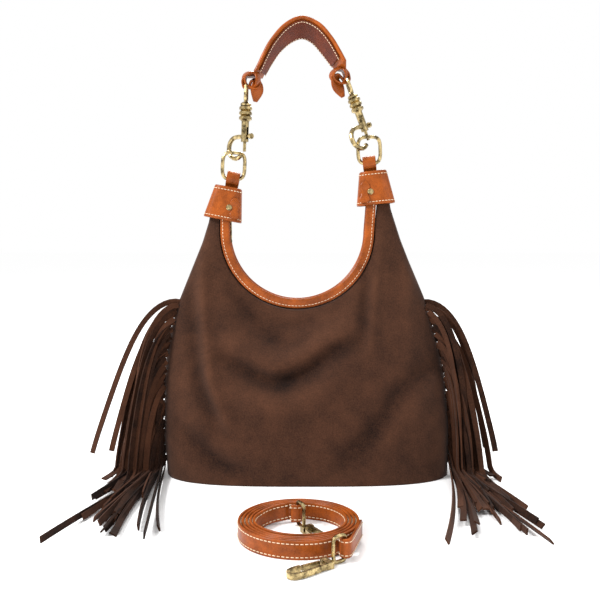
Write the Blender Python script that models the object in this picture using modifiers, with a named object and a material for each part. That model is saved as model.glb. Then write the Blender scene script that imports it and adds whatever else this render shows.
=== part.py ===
"""Fringed suede hobo bag with a clip-on handle and a coiled shoulder strap.

The bag stands on its base: +Z is up, the front faces -Y, and the origin is the middle of
the base on the floor. Lengths are written in millimetres and turned to metres by MM.
"""
import math

import bmesh
import bpy
from mathutils import Matrix, Vector

MM = 0.001
GAP = 0.3                      # clearance between touching pieces

# ---- bag body -------------------------------------------------------------------------
BASE_HALF_WIDTH = 178.0
BASE_HALF_DEPTH = 84.0
BASE_POWER = 3.2               # how square the base's corners are
SUEDE = 2.0                    # wall of the suede shell
MOUTH_X, MOUTH_Z = -13.0, 303.0
MOUTH_RADIUS = 90.5            # middle of the rims and the zip
RIM_WIDTH, RIM_THICK = 12.0, 4.0
RIM_Y_LOW, RIM_Y_EAR = 10.0, 6.6
SUEDE_TOP_RADIUS = MOUTH_RADIUS + RIM_WIDTH / 2 + 1.4
EAR_LEFT = {"outer": (-118.4, 348.6), "inner": (-113.2, 348.6)}
EAR_RIGHT = {"outer": (99.0, 366.0), "inner": (91.0, 366.0)}
LEFT_OUTLINE = [(0, 0), (0.14, -0.085), (0.33, -0.085), (0.43, -0.03), (0.53, 0.085),
                (0.625, 0.255), (0.83, 0.75), (0.905, 0.89), (1, 1)]
RIGHT_OUTLINE = [(0, 0), (0.17, -0.03), (0.31, 0.02), (0.395, 0.085), (0.487, 0.21),
                 (0.60, 0.37), (0.73, 0.63), (0.80, 0.76), (0.905, 0.92), (1, 1)]
COLUMNS, ROWS = 44, 14
WORLD = {}                     # each object's world frame, by name

# ---- ears: cuff, ring loop, rivet -----------------------------------------------------
CUFF_HEIGHT, CUFF_WALL = 42.0, 2.2
CUFF_HALF_WIDTH = (24.4, 17.0)           # bottom, top
CUFF_HALF_DEPTH = (14.0, 13.0)
EARS = {"left": {"foot": (-107.5, 318.0), "tilt": 11.0, "loop": (-94.0, 369.0),
                 "yaw": 3.0, "ring_tilt": 3.0},
        "right": {"foot": (86.5, 337.0), "tilt": -6.0, "loop": (78.0, 388.5),
                  "yaw": -8.0, "ring_tilt": -2.0}}
LOOP_HALF_WIDTH, LOOP_RADIUS, LOOP_THICK = 8.0, 7.6, 2.0

# ---- handle hardware ------------------------------------------------------------------
RING_HALF_WIDTH, RING_HALF_HEIGHT, RING_WIRE = 14.0, 16.6, 2.3
BARREL_RADIUS, BORE_RADIUS, BORE_DEPTH = 4.7, 3.0, 20.0
CLAW_RADIUS, CLAW_WIRE = 13.4, 2.9
CLAW_CENTRE = (-15.4, -6.5)
BOLT_RADIUS, KNOB_HEIGHT = 2.0, 6.5
EYE_HALF_WIDTH, EYE_WIRE = 8.6, 2.2
COLLAR_TOP = 44.0
SNAPS = {"left": {"foot": (-78.3, -9.5, 414.1), "tilt": 2.1, "yaw": -42.7},
         "right": {"foot": (73.1, 8.0, 429.8), "tilt": -20.5, "yaw": 42.1}}

# ---- handle band ----------------------------------------------------------------------
HANDLE_NEAR = [(-66, 497), (-60, 508), (-54, 521), (-45, 537), (-28, 556), (-7, 565), (14, 557),
               (29, 541), (39, 525), (46, 512)]
HANDLE_FAR = [(-58, 497), (-53, 506), (-46, 517), (-36, 530), (-22, 541), (-7, 546), (7, 540),
              (19, 527), (28, 516), (36, 506)]
HANDLE_NEAR_Y, HANDLE_FAR_Y = -16.0, 15.0
HANDLE_THICK, LINING_THICK, LINING_INSET, END_THICK = 5.0, 1.2, 3.0, 2.6

# ---- shoulder strap -------------------------------------------------------------------
COIL_X, COIL_Y, COIL_SQUASH = -10.0, -232.0, 0.95
STRAP_WIDTH, STRAP_THICK = 18.0, 2.9
COIL_OUTER, COIL_PITCH, COIL_TURNS = 61.5, 3.8, 4.697
INNER_SHIFT_X, INNER_DROP = -11.0, 10.5
COIL_STEPS, COIL_START = 26, math.radians(-14.0)
RAISE_STEPS = 5                # how many steps of the coil lift to each hook's ring
HOOK_RING_WIRE, HOOK_HALF, RING_RISE = 1.9, 2.6, 10.3
HOOK_RING_X, HOOK_RING_HALF = -7.6, 7.0
HOOKS = {"a": {"spot": (20.0, -301.0), "heading": 215.0, "arrive": 250.0, "turn": -1},
         "b": {"spot": (-5.2, -217.5), "heading": -62.0, "arrive": -6.0, "turn": -1}}

# ---- fringe ---------------------------------------------------------------------------
FRINGE_TOP, FRINGE_LENGTH, FRINGE_THICK = 216.0, 238.0, 7.0
FRINGE_OUT = {-1: 112.0, 1: 92.0}        # how far the top strands spring out, by side

# ---- zip ------------------------------------------------------------------------------
ZIP_REST, ZIP_TRAVEL = 169.0, 198.0      # degrees on the mouth's arc


# ---- helpers --------------------------------------------------------------------------
def clear_scene():
    """Remove whatever the file starts with."""
    for item in list(bpy.data.objects):
        bpy.data.objects.remove(item, do_unlink=True)


def collection(name):
    made = bpy.data.collections.new(name)
    bpy.context.scene.collection.children.link(made)
    return made


def material(name, colour, roughness, metallic=0.0):
    made = bpy.data.materials.new(name)
    made.use_nodes = True
    shader = made.node_tree.nodes["Principled BSDF"]
    shader.inputs["Base Color"].default_value = (*colour, 1.0)
    shader.inputs["Roughness"].default_value = roughness
    shader.inputs["Metallic"].default_value = metallic
    return made


def vec(point):
    """A point in millimetres as a vector in metres."""
    return Vector(point) * MM


def rod_frame(foot, tilt, yaw=0.0):
    """Frame at a point in mm: +Z leans by tilt degrees towards +X, then x turns by yaw about it."""
    lean = Matrix.Rotation(math.radians(tilt), 4, "Y")
    return Matrix.Translation(vec(foot)) @ lean @ Matrix.Rotation(math.radians(yaw), 4, "Z")


def add(name, mesh, finish, parent=None, frame=None):
    """Make the object of one sub-part, its mesh given in the frame's own coordinates."""
    item = bpy.data.objects.new(name, mesh)
    PARTS.objects.link(item)
    item.data.materials.clear()
    item.data.materials.append(finish)
    place(item, parent, frame)
    return item


def place(item, parent, frame):
    """Parent the object and put it at a world frame, which is kept for its own children."""
    target = frame if frame is not None else Matrix.Identity(4)
    WORLD[item.name] = target
    if parent is None:
        item.matrix_basis = target
    else:
        item.parent = parent
        item.matrix_basis = WORLD[parent.name].inverted() @ target


def empty(name, frame, parent=None):
    """An empty on a joint's axis, which carries the pieces that move about it."""
    item = bpy.data.objects.new(name, None)
    PARTS.objects.link(item)
    item.empty_display_size = 0.02
    place(item, parent, frame)
    return item


def smooth(mesh, angle=40.0):
    mesh.shade_smooth()
    mesh.set_sharp_from_angle(angle=math.radians(angle))


def spline(points, per_span=4, closed=False):
    """Points in mm read from a smooth curve through the given ones."""
    points = [Vector(p) for p in points]
    count = len(points)
    spans = count if closed else count - 1
    out = []
    for i in range(spans):
        if closed:
            a, b, c, d = (points[(i + k) % count] for k in (-1, 0, 1, 2))
        else:
            b, c = points[i], points[i + 1]
            a = points[i - 1] if i else b * 2 - c
            d = points[i + 2] if i + 2 < count else c * 2 - b
        for k in range(per_span):
            t = k / per_span
            out.append(0.5 * (2 * b + (c - a) * t + (2 * a - 5 * b + 4 * c - d) * t * t
                              + (3 * b - a - 3 * c + d) * t ** 3))
    if not closed:
        out.append(points[-1])
    return out


def wire_mesh(points, radius, closed=False, resolution=2):
    """A bent wire along points in mm, as one welded mesh."""
    data = bpy.data.curves.new("wire", "CURVE")
    data.dimensions = "3D"
    data.bevel_depth = radius * MM
    data.bevel_resolution = resolution
    data.use_fill_caps = not closed
    line = data.splines.new("POLY")
    line.points.add(len(points) - 1)
    for slot, point in zip(line.points, points):
        slot.co = (*vec(point), 1.0)
    line.use_cyclic_u = closed
    holder = bpy.data.objects.new("wire", data)
    bpy.context.scene.collection.objects.link(holder)
    mesh = bpy.data.meshes.new_from_object(holder.evaluated_get(bpy.context.evaluated_depsgraph_get()))
    bpy.data.objects.remove(holder, do_unlink=True)
    weld(mesh)
    return mesh


def weld(mesh):
    shape = bmesh.new()
    shape.from_mesh(mesh)
    bmesh.ops.remove_doubles(shape, verts=shape.verts, dist=1e-6)
    bmesh.ops.recalc_face_normals(shape, faces=shape.faces)
    shape.to_mesh(mesh)
    shape.free()


def turned(name, profile, finish, parent, frame, steps=16):
    """A turned piece: its profile in mm (radius, height) runs down the outer side."""
    mesh = bpy.data.meshes.new(name)
    points = [(r * MM, 0.0, z * MM) for r, z in profile]
    mesh.from_pydata(points, [(i, i + 1) for i in range(len(points) - 1)], [])
    item = add(name, mesh, finish, parent, frame)
    screw = item.modifiers.new("turn", "SCREW")
    screw.steps = steps
    screw.render_steps = steps
    screw.use_merge_vertices = True
    screw.merge_threshold = 1e-5
    screw.use_smooth_shade = True
    return item


def loft_mesh(sections, cap=True, closed_path=False):
    """Skin between rings of points in mm, each ring with the same number of points."""
    shape = bmesh.new()
    rings = [[shape.verts.new(vec(p)) for p in ring] for ring in sections]
    count = len(rings[0])
    pairs = list(zip(rings, rings[1:]))
    if closed_path:
        pairs.append((rings[-1], rings[0]))
    for low, high in pairs:
        for i in range(count):
            j = (i + 1) % count
            shape.faces.new((low[i], low[j], high[j], high[i]))
    if cap and not closed_path:
        shape.faces.new(rings[0][::-1])
        shape.faces.new(rings[-1])
    bmesh.ops.recalc_face_normals(shape, faces=shape.faces)
    mesh = bpy.data.meshes.new("loft")
    shape.to_mesh(mesh)
    shape.free()
    return mesh


def rounded_section(centre, across, along, half_width, half_thick, corner=0.55):
    """Eight-sided section of a strip: across is its width direction, along its thickness."""
    turns = ((1, corner), (corner * 1.3, 1), (-corner * 1.3, 1), (-1, corner),
             (-1, -corner), (-corner * 1.3, -1), (corner * 1.3, -1), (1, -corner))
    return [centre + across * half_width * a + along * half_thick * b for a, b in turns]


def boolean(item, operation, cutter):
    change = item.modifiers.new(operation.lower(), "BOOLEAN")
    change.operation = operation
    change.solver = "EXACT"
    change.object = cutter


def cutter_from(name, mesh, parent=None, frame=None):
    item = bpy.data.objects.new(name, mesh)
    CUTTERS.objects.link(item)
    place(item, parent, frame)
    item.hide_render = True
    item.display_type = "WIRE"
    return item


def box_mesh(low, high):
    shape = bmesh.new()
    bmesh.ops.create_cube(shape, size=1.0)
    for vert in shape.verts:
        vert.co = Vector(((low[i] + high[i]) / 2 + vert.co[i] * (high[i] - low[i])) * MM for i in range(3))
    mesh = bpy.data.meshes.new("box")
    shape.to_mesh(mesh)
    shape.free()
    return mesh


def read_outline(outline, value):
    """Straight-line reading of a list of (place, amount) pairs."""
    for (a, fa), (b, fb) in zip(outline, outline[1:]):
        if value <= b:
            return fa + (fb - fa) * (value - a) / (b - a)
    return outline[-1][1]


# ---- bag body -------------------------------------------------------------------------
def mouth_path(radius, left_top, right_top, steps):
    """The U of the mouth, left to right: a straight, half a circle, a straight."""
    points = [Vector(left_top), Vector((MOUTH_X - radius, MOUTH_Z + 14))]
    for i in range(steps + 1):
        angle = math.pi * (1 + i / steps)
        points.append(Vector((MOUTH_X + radius * math.cos(angle), MOUTH_Z + radius * math.sin(angle))))
    points += [Vector((MOUTH_X + radius + 1, MOUTH_Z + 14)), Vector(right_top)]
    return points


def read_path(points, share):
    """Point at a share of a path's length."""
    lengths = [(b - a).length for a, b in zip(points, points[1:])]
    left = share * sum(lengths)
    for a, b, length in zip(points, points[1:], lengths):
        if left <= length:
            return a.lerp(b, left / length)
        left -= length
    return points[-1].copy()


def base_point(share, inset=0.0):
    """Point on the front half of the base's outline, from the left seam to the right."""
    angle = math.pi * (1 + share)
    power = 2 / BASE_POWER
    c, s = math.cos(angle), math.sin(angle)
    x = math.copysign(abs(c) ** power, c) * (BASE_HALF_WIDTH - inset)
    y = math.copysign(abs(s) ** power, s) * (BASE_HALF_DEPTH - inset)
    return Vector((x, y))


def body_point(share, level, inset=0.0):
    """Point of the front panel: share runs left to right, level runs base to top."""
    top_path = [Vector(EAR_LEFT["outer"])]
    top_path += mouth_path(SUEDE_TOP_RADIUS, EAR_LEFT["inner"], EAR_RIGHT["inner"], 24)
    top_path += [Vector(EAR_RIGHT["outer"])]
    low = base_point(share)
    high = read_path(top_path, share)
    left = read_outline(LEFT_OUTLINE, level)
    right = read_outline(RIGHT_OUTLINE, level)
    middle = level ** 1.4
    edge = abs(2 * share - 1) ** 2
    lean = middle * (1 - edge) + (left if share < 0.5 else right) * edge
    x = low.x + (high.x - low.x) * lean
    z = high.y * level
    top_y = -RIM_Y_LOW * math.sin(math.pi * share) ** 0.3
    fall = math.cos(math.pi / 2 * level) ** (0.8 + 1.2 * edge) if level < 1 else 0.0
    y = low.y * fall + top_y * (1 - fall)
    if inset:
        middle_x = (x - MOUTH_X * level)
        x -= inset * max(-1.0, min(1.0, middle_x / 120.0))
        y = min(0.0, y + inset)
    return Vector((x, y, z))


def body_shell(name, finish, inset, floor, top_level, columns, rows, wall):
    """An open-topped shell: front half lofted, its mirror image behind, closed by its base."""
    shape = bmesh.new()
    shares = [i / (columns // 2) for i in range(columns // 2 + 1)]
    levels = [top_level * (j / rows) for j in range(rows + 1)]
    loops = []
    for level in levels:
        front = [body_point(s, level, inset) for s in shares]
        ring = front + [Vector((p.x, -p.y, p.z)) for p in front[-2:0:-1]]
        loops.append([shape.verts.new(vec((p.x, p.y, max(p.z, 0.0) * (1 - floor / 350) + floor)))
                      for p in ring])
    count = len(loops[0])
    for low, high in zip(loops, loops[1:]):
        for i in range(count):
            j = (i + 1) % count
            shape.faces.new((low[i], low[j], high[j], high[i]))
    shape.faces.new(loops[0][::-1])
    bmesh.ops.recalc_face_normals(shape, faces=shape.faces)
    mesh = bpy.data.meshes.new(name)
    shape.to_mesh(mesh)
    shape.free()
    item = add(name, mesh, finish)
    skin = item.modifiers.new("wall", "SOLIDIFY")
    skin.thickness = wall * MM
    skin.offset = -1.0
    skin.use_even_offset = False
    return item


def zip_path(steps):
    """The part of the mouth that the slider runs on: a true arc."""
    first, last = math.radians(ZIP_REST - 3.5), math.radians(ZIP_REST + ZIP_TRAVEL + 3.5)
    points = []
    for i in range(steps + 1):
        angle = first + (last - first) * i / steps
        points.append(Vector((MOUTH_X + MOUTH_RADIUS * math.cos(angle),
                              MOUTH_Z + MOUTH_RADIUS * math.sin(angle))))
    return points


def strip_along(name, path, half_width, half_thick, y_low, y_ear, finish):
    """A band that follows a path of the mouth, its width in the plane of the U."""
    lowest = MOUTH_Z - MOUTH_RADIUS
    sections = []
    for i, point in enumerate(path):
        run = (path[min(i + 1, len(path) - 1)] - path[max(i - 1, 0)]).normalized()
        across = Vector((run.y, 0, -run.x))
        rise = max(0.0, min(1.0, (point.y - lowest) / (EAR_LEFT["outer"][1] - lowest)))
        centre = Vector((point.x, y_low + (y_ear - y_low) * rise ** 2, point.y))
        sections.append(rounded_section(centre, across, Vector((0, 1, 0)), half_width, half_thick))
    return add(name, loft_mesh(sections), finish)


def build_body():
    body_shell("suede_body", SUEDE_BROWN, 0.0, 0.0, 1.0, COLUMNS, ROWS, SUEDE)
    outline = [base_point(i / 16, 14.0) for i in range(17)]
    outline += [Vector((p.x, -p.y)) for p in outline[-2:0:-1]]
    flat_extrusion("base_board", outline, SUEDE + GAP, SUEDE + GAP + 2.4, BOARD_GREY, None)
    body_shell("lining", LINING_CLOTH, 7.0, 6.6, 0.8, 28, 8, 0.8)
    half, thick = RIM_WIDTH / 2, RIM_THICK / 2
    path = mouth_path(MOUTH_RADIUS, (MOUTH_X - MOUTH_RADIUS - 3.2, 331), (MOUTH_X + MOUTH_RADIUS + 3.2, 349), 22)
    strip_along("rim_front", path, half, thick, -RIM_Y_LOW, -RIM_Y_EAR, TAN_LEATHER)
    strip_along("rim_back", path, half, thick, RIM_Y_LOW, RIM_Y_EAR, TAN_LEATHER)


def build_zip():
    """Two tapes with their teeth, a slider that runs on the mouth's arc, and its pull."""
    for side, sign in (("front", -1), ("back", 1)):
        strip_along("zip_tape_" + side, zip_path(28), 0.8, 1.4, sign * 2.25, sign * 2.25, ZIP_BROWN)
    axis = empty("zip_slide_axis", Matrix.Translation(vec((MOUTH_X, 0, MOUTH_Z))))
    angle = math.radians(ZIP_REST)
    outward = Vector((math.cos(angle), 0, math.sin(angle)))
    run = Vector((-outward.z, 0, outward.x))
    frame = Matrix.Translation(vec((MOUTH_X, 0, MOUTH_Z)) + outward * MOUTH_RADIUS * MM)
    frame = frame @ Matrix((run, (0, 1, 0), -outward)).transposed().to_4x4()
    slider = add("zip_slider", box_mesh((-5, -3.6, 1.5), (5, 3.6, 3.0)), ANTIQUE_BRASS, axis, frame)
    plate = cutter_from("slider_back_plate", box_mesh((-5, -3.6, -3.0), (5, 3.6, -1.5)), axis, frame)
    web = cutter_from("slider_web", box_mesh((-4, -0.4, -2), (4, 0.4, 2)), axis, frame)
    lug_path = spline([(-3.2, 0, 2.6), (-3.0, 0, 5.6), (0, 0, 7.0), (3.0, 0, 5.6), (3.2, 0, 2.6)], 3)
    lug = cutter_from("slider_lug", wire_mesh(lug_path, 0.8), axis, frame)
    for piece in (web, plate, lug):
        boolean(slider, "UNION", piece)
    pivot = frame @ vec((0, 0, 5.2))
    pull_frame = Matrix.Translation(pivot)
    eye = [(math.cos(a) * 3.0, 0, math.sin(a) * 3.0 - 2.8) for a in
           (2 * math.pi * k / 12 for k in range(12))]
    turn = Matrix.Rotation(math.radians(90), 4, "Z")
    hinge = empty("zip_pull_axis", pull_frame, slider)
    pull = add("zip_pull", wire_mesh(eye, 0.65, closed=True, resolution=1), ANTIQUE_BRASS, hinge,
               pull_frame @ turn)
    blade = [rounded_section(Vector((0, 0, z)), Vector((1, 0, 0)), Vector((0, 1, 0)), w, t)
             for z, w, t in ((-5.4, 0.9, 0.6), (-7, 1.6, 0.8), (-12, 2.1, 0.9), (-23, 1.5, 0.9),
                             (-26, 0.9, 0.8), (-28, 1.7, 1.4), (-30, 1.2, 1.0))]
    tab = cutter_from("pull_tab", loft_mesh(blade), hinge, pull_frame @ turn)
    boolean(pull, "UNION", tab)


# ---- ears -----------------------------------------------------------------------------
def ear_frame(side):
    spec = EARS[side]
    return rod_frame((spec["foot"][0], 0, spec["foot"][1]), spec["tilt"])


def oval(half_x, half_y, z, power=3.0, count=24):
    ring = []
    for i in range(count):
        a = 2 * math.pi * i / count
        c, s = math.cos(a), math.sin(a)
        ring.append(Vector((math.copysign(abs(c) ** (2 / power), c) * half_x,
                            math.copysign(abs(s) ** (2 / power), s) * half_y, z)))
    return ring


def build_ear(side):
    frame = ear_frame(side)
    sign = 1 if side == "left" else -1
    sections = []
    levels = ((0.0, 0.0), (0.5, 0.5), (1.0, 1.0))
    for share, level in levels:
        wide = CUFF_HALF_WIDTH[0] + (CUFF_HALF_WIDTH[1] - CUFF_HALF_WIDTH[0]) * share
        deep = CUFF_HALF_DEPTH[0] + (CUFF_HALF_DEPTH[1] - CUFF_HALF_DEPTH[0]) * share
        sections.append(oval(wide, deep, CUFF_HEIGHT * level))
    for ring in sections[::-1]:
        inner = []
        for p in ring:
            scale_x = 1 - CUFF_WALL / max(abs(q.x) for q in ring)
            scale_y = 1 - CUFF_WALL / max(abs(q.y) for q in ring)
            inner.append(Vector((p.x * scale_x, p.y * scale_y, p.z)))
        sections.append(inner)
    cuff = loft_mesh(sections, cap=False, closed_path=True)
    smooth(cuff)
    add("cuff_" + side, cuff, TAN_LEATHER, None, frame)

    loop = EARS[side]["loop"]
    centre = Vector((loop[0], 0, loop[1]))
    loop_frame = rod_frame(centre, EARS[side]["tilt"]) @ Matrix.Rotation(
        math.radians(EARS[side]["yaw"]), 4, "Z")
    outer = LOOP_RADIUS + LOOP_THICK
    outline = [(1.0, -24.0), (2.4, -24.0), (2.5, -12.0)]
    outline += [(outer * math.sin(a), -outer * math.cos(a)) for a in
                (math.radians(d) for d in range(30, 331, 20))]
    outline += [(-2.5, -12.0), (-2.4, -24.0), (-1.0, -24.0), (-1.0, -10.5)]
    inner = [(LOOP_RADIUS * math.sin(a), -LOOP_RADIUS * math.cos(a)) for a in
             (math.radians(d) for d in range(340, 19, -20))]
    outline += inner + [(1.0, -10.5)]
    sections = [[Vector((x, y, z)) for y, z in outline] for x in (-LOOP_HALF_WIDTH, LOOP_HALF_WIDTH)]
    strap = loft_mesh(sections)
    smooth(strap)
    add("ring_loop_" + side, strap, TAN_LEATHER, None, loop_frame)

    rivet_x = 6.5 * sign
    frame_out = frame @ Matrix.Translation(vec((rivet_x, -CUFF_HALF_DEPTH[0] - GAP, 16.5)))
    frame_out = frame_out @ Matrix.Rotation(math.radians(90), 4, "X")
    turned("rivet_" + side, [(0, 1.9), (2.4, 1.5), (3.8, 0.3), (3.6, 0), (0, 0)], ANTIQUE_BRASS, None,
           frame_out, 12)


# ---- handle ---------------------------------------------------------------------------
def swing_frame():
    """Frame on the line through both ring loops, about which the handle falls over."""
    left, right = (Vector((EARS[s]["loop"][0], 0, EARS[s]["loop"][1])) for s in ("left", "right"))
    run = (right - left).normalized()
    matrix = Matrix((run, (0, 1, 0), run.cross(Vector((0, 1, 0))))).transposed().to_4x4()
    return Matrix.Translation((left + right) * 0.5 * MM) @ matrix


def build_ring(side, parent):
    loop = EARS[side]["loop"]
    points = []
    for i in range(28):
        a = 2 * math.pi * (i + 0.5) / 28
        c, s = math.cos(a), math.sin(a)
        points.append(Vector((math.copysign(abs(c) ** 0.55, c) * RING_HALF_WIDTH, 0,
                              math.copysign(abs(s) ** 0.55, s) * RING_HALF_HEIGHT + RING_HALF_HEIGHT)))
    mesh = wire_mesh(points, RING_WIRE, closed=True)
    smooth(mesh)
    add("ring_" + side, mesh, ANTIQUE_BRASS, parent,
        rod_frame((loop[0], 0, loop[1]), EARS[side]["ring_tilt"]))


def build_snap(side, parent):
    """Bolt snap: turned barrel with a claw, a sprung bolt across the claw, a swivel eye on top."""
    spec = SNAPS[side]
    frame = rod_frame(spec["foot"], spec["tilt"], spec["yaw"])
    swivel = empty("snap_%s_axis" % side, frame, parent)
    profile = [(BORE_RADIUS, BORE_DEPTH), (0, BORE_DEPTH)][::-1]
    outer = [(2.9, COLLAR_TOP), (6.2, COLLAR_TOP)]
    for k in range(3):
        top = COLLAR_TOP - 0.6 - k * 6.0
        outer += [(8.0, top - 1.0), (8.0, top - 4.0), (6.0, top - 5.2)]
    outer += [(BARREL_RADIUS, 25.0), (BARREL_RADIUS, 0.0), (BORE_RADIUS, 0.0)]
    socket = [(0, COLLAR_TOP - 12.0), (2.9, COLLAR_TOP - 12.0)]
    body = turned("snap_body_" + side, socket + outer + profile[::-1], ANTIQUE_BRASS, swivel, frame, 14)
    claw = [Vector((-BARREL_RADIUS + 1.0, 0, 7.0))]
    for degrees in range(90, 330, 20):
        a = math.radians(degrees)
        claw.append(Vector((CLAW_CENTRE[0] + CLAW_RADIUS * math.cos(a), 0,
                            CLAW_CENTRE[1] + CLAW_RADIUS * math.sin(a))))
    tip = cutter_from("claw_" + side, wire_mesh(claw, CLAW_WIRE), swivel, frame)
    boolean(body, "UNION", tip)
    slot = cutter_from("bolt_slot_" + side, box_mesh((1.0, -1.5, 3.0), (9.0, 1.5, 18.0)), swivel, frame)
    boolean(body, "DIFFERENCE", slot)

    slide = empty("snap_bolt_%s_axis" % side, frame, swivel)
    low = CLAW_CENTRE[1] - 5.3
    bolt = turned("snap_bolt_" + side, [(0, 9.0), (BORE_RADIUS - 0.2, 9.0), (BORE_RADIUS - 0.2, 2.5),
                                        (BOLT_RADIUS, 2.5), (BOLT_RADIUS, low), (0, low)],
                  ANTIQUE_BRASS, slide, frame, 12)
    stem = cutter_from("bolt_stem_" + side,
                       wire_mesh([(1.0, 0, KNOB_HEIGHT), (10.5, 0, KNOB_HEIGHT)], 1.2), slide, frame)
    knob = cutter_from("bolt_knob_" + side,
                       wire_mesh([(9.5, 0, KNOB_HEIGHT), (12.5, 0, KNOB_HEIGHT)], 3.6), slide, frame)
    boolean(bolt, "UNION", stem)
    boolean(bolt, "UNION", knob)
    turns = 5
    coil = []
    for i in range(turns * 10 + 1):
        a = 2 * math.pi * i / 10
        coil.append((2.2 * math.cos(a), 2.2 * math.sin(a), 9.9 + 9.2 * i / (turns * 10)))
    add("snap_spring_" + side, wire_mesh(coil, 0.35), STEEL, swivel, frame)

    eye = []
    for degrees in range(-80, 261, 20):
        c, s = math.cos(math.radians(degrees)), math.sin(math.radians(degrees))
        eye.append(Vector((0, EYE_HALF_WIDTH * math.copysign(abs(c) ** 0.6, c),
                           COLLAR_TOP + 15.0 + 10.6 * math.copysign(abs(s) ** 0.6, s))))
    eye_frame = rod_frame(spec["foot"], spec["tilt"], 0.0)
    ring = turned("swivel_eye_" + side, [(0, COLLAR_TOP + 5.4), (4.4, COLLAR_TOP + 4.6),
                                         (6.6, COLLAR_TOP + 2.6), (6.6, COLLAR_TOP + GAP),
                                         (2.6, COLLAR_TOP + GAP), (2.6, COLLAR_TOP - 11.5),
                                         (0, COLLAR_TOP - 11.5)], ANTIQUE_BRASS, parent, eye_frame, 14)
    bow = cutter_from("eye_bow_" + side, wire_mesh(eye, EYE_WIRE), parent, eye_frame)
    boolean(ring, "UNION", bow)


def strip_sections(near, far, half_thick, inset, drop):
    """Sections of a strip between two edge curves, dropped towards the inside of the arch."""
    sections = []
    middles = [(a + b) / 2 for a, b in zip(near, far)]
    for i, (a, b) in enumerate(zip(near, far)):
        run = (middles[min(i + 1, len(near) - 1)] - middles[max(i - 1, 0)]).normalized()
        half_width = (a - b).length / 2 - inset
        across = (a - b).normalized()
        inward = run.cross(across).normalized()
        sections.append(rounded_section(middles[i] + inward * drop, across, inward, half_width,
                                        half_thick, 0.6))
    return sections


def handle_end(side):
    """Sections of one end of the strap: through the swivel eye, round its bar, to the tongue."""
    sign = 1 if side == "left" else -1
    spec = SNAPS[side]
    frame = rod_frame(spec["foot"], spec["tilt"])
    bar = COLLAR_TOP + 25.6
    wrap = EYE_WIRE + 0.6 + END_THICK / 2
    path = [(-sign * 2.4, bar + 10.0, 7.0), (-sign * 4.6, bar + 5.4, 4.6)]
    for degrees in (180, 215, 250, 290, 325, 360):
        a = math.radians(degrees)
        path.append((sign * wrap * math.cos(a), bar + wrap * math.sin(a), 3.3))
    path += [(sign * 6.0, bar + 4.6, 4.8), (sign * 9.6, bar + 5.6, 7.0), (sign * 13.2, bar + 1.0, 8.5),
             (sign * 14.2, bar - 7.0, 8.0), (sign * 14.0, bar - 17.0, 3.5)]
    points = [frame @ vec((x, 0, z)) / MM for x, z, _ in path]
    sections = []
    for i, (_, _, half_width) in enumerate(path):
        run = (points[min(i + 1, len(path) - 1)] - points[max(i - 1, 0)]).normalized() * -sign
        across = Vector((0, -1, 0))
        sections.append(rounded_section(points[i], across, run.cross(across), half_width, END_THICK / 2, 0.6))
    return sections


def build_handle(parent):
    """Padded band whose ends narrow, pass through the swivel eyes and end in a tongue."""
    near = spline([(x, HANDLE_NEAR_Y, z) for x, z in HANDLE_NEAR], 2)
    far = spline([(x, HANDLE_FAR_Y, z) for x, z in HANDLE_FAR], 2)
    sections = strip_sections(near, far, HANDLE_THICK / 2, 0.0, 0.0)
    band = loft_mesh(handle_end("left")[::-1] + sections + handle_end("right"))
    smooth(band, 50)
    add("handle_strap", band, TAN_LEATHER, parent)
    drop = HANDLE_THICK / 2 + LINING_THICK / 2 + 3 * GAP
    lining = loft_mesh(strip_sections(near, far, LINING_THICK / 2, LINING_INSET, drop)[2:-2])
    smooth(lining, 50)
    add("handle_lining", lining, LINING_LEATHER, parent)


# ---- shoulder strap -------------------------------------------------------------------
def coil_path():
    """Plan of the strap standing on edge: outer turns, then a smaller loop of inner turns."""
    points = []
    for i in range(int(COIL_TURNS * COIL_STEPS) + 1):
        turn = i / COIL_STEPS
        a = COIL_START - 2 * math.pi * turn
        step = max(0.0, min(1.0, (turn - 4.05) / 0.5))
        ease = step * step * (3 - 2 * step)
        radius = COIL_OUTER - COIL_PITCH * turn - INNER_DROP * ease
        points.append(Vector((COIL_X + INNER_SHIFT_X * ease + radius * math.cos(a),
                              COIL_Y + radius * math.sin(a) * COIL_SQUASH)))
    return points


def end_turn(bar, arrive, turn):
    """Points of a fold round an upright bar: the strap arrives, goes round it and comes back."""
    wrap = HOOK_RING_WIRE + 0.9 + STRAP_THICK / 2
    side = Vector((-arrive.y, arrive.x)) * turn
    points = [bar - arrive * 9.0 - side * wrap]
    for degrees in (0, 45, 90, 135, 180):
        a = math.radians(degrees)
        points.append(bar - side * wrap * math.cos(a) + arrive * wrap * math.sin(a))
    points.append(bar - arrive * 6.0 + side * wrap)
    return points


def ribbon_outline(path, half):
    left, right = [], []
    for i, point in enumerate(path):
        run = (path[min(i + 1, len(path) - 1)] - path[max(i - 1, 0)]).normalized()
        side = Vector((-run.y, run.x)) * half
        left.append(point + side)
        right.append(point - side)
    return left + right[::-1]


def flat_extrusion(name, outline, low, high, finish, parent, frame=None):
    """An outline in the floor's plane, filled and extruded between two heights in mm."""
    data = bpy.data.curves.new(name, "CURVE")
    data.dimensions = "2D"
    data.fill_mode = "BOTH"
    data.extrude = (high - low) / 2 * MM
    line = data.splines.new("POLY")
    line.points.add(len(outline) - 1)
    for slot, point in zip(line.points, outline):
        slot.co = (point.x * MM, point.y * MM, 0.0, 1.0)
    line.use_cyclic_u = True
    holder = bpy.data.objects.new(name, data)
    bpy.context.scene.collection.objects.link(holder)
    mesh = bpy.data.meshes.new_from_object(holder.evaluated_get(bpy.context.evaluated_depsgraph_get()))
    bpy.data.objects.remove(holder, do_unlink=True)
    mesh.transform(Matrix.Translation(vec((0, 0, (high + low) / 2))))
    weld(mesh)
    return add(name, mesh, finish, parent, frame)


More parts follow.
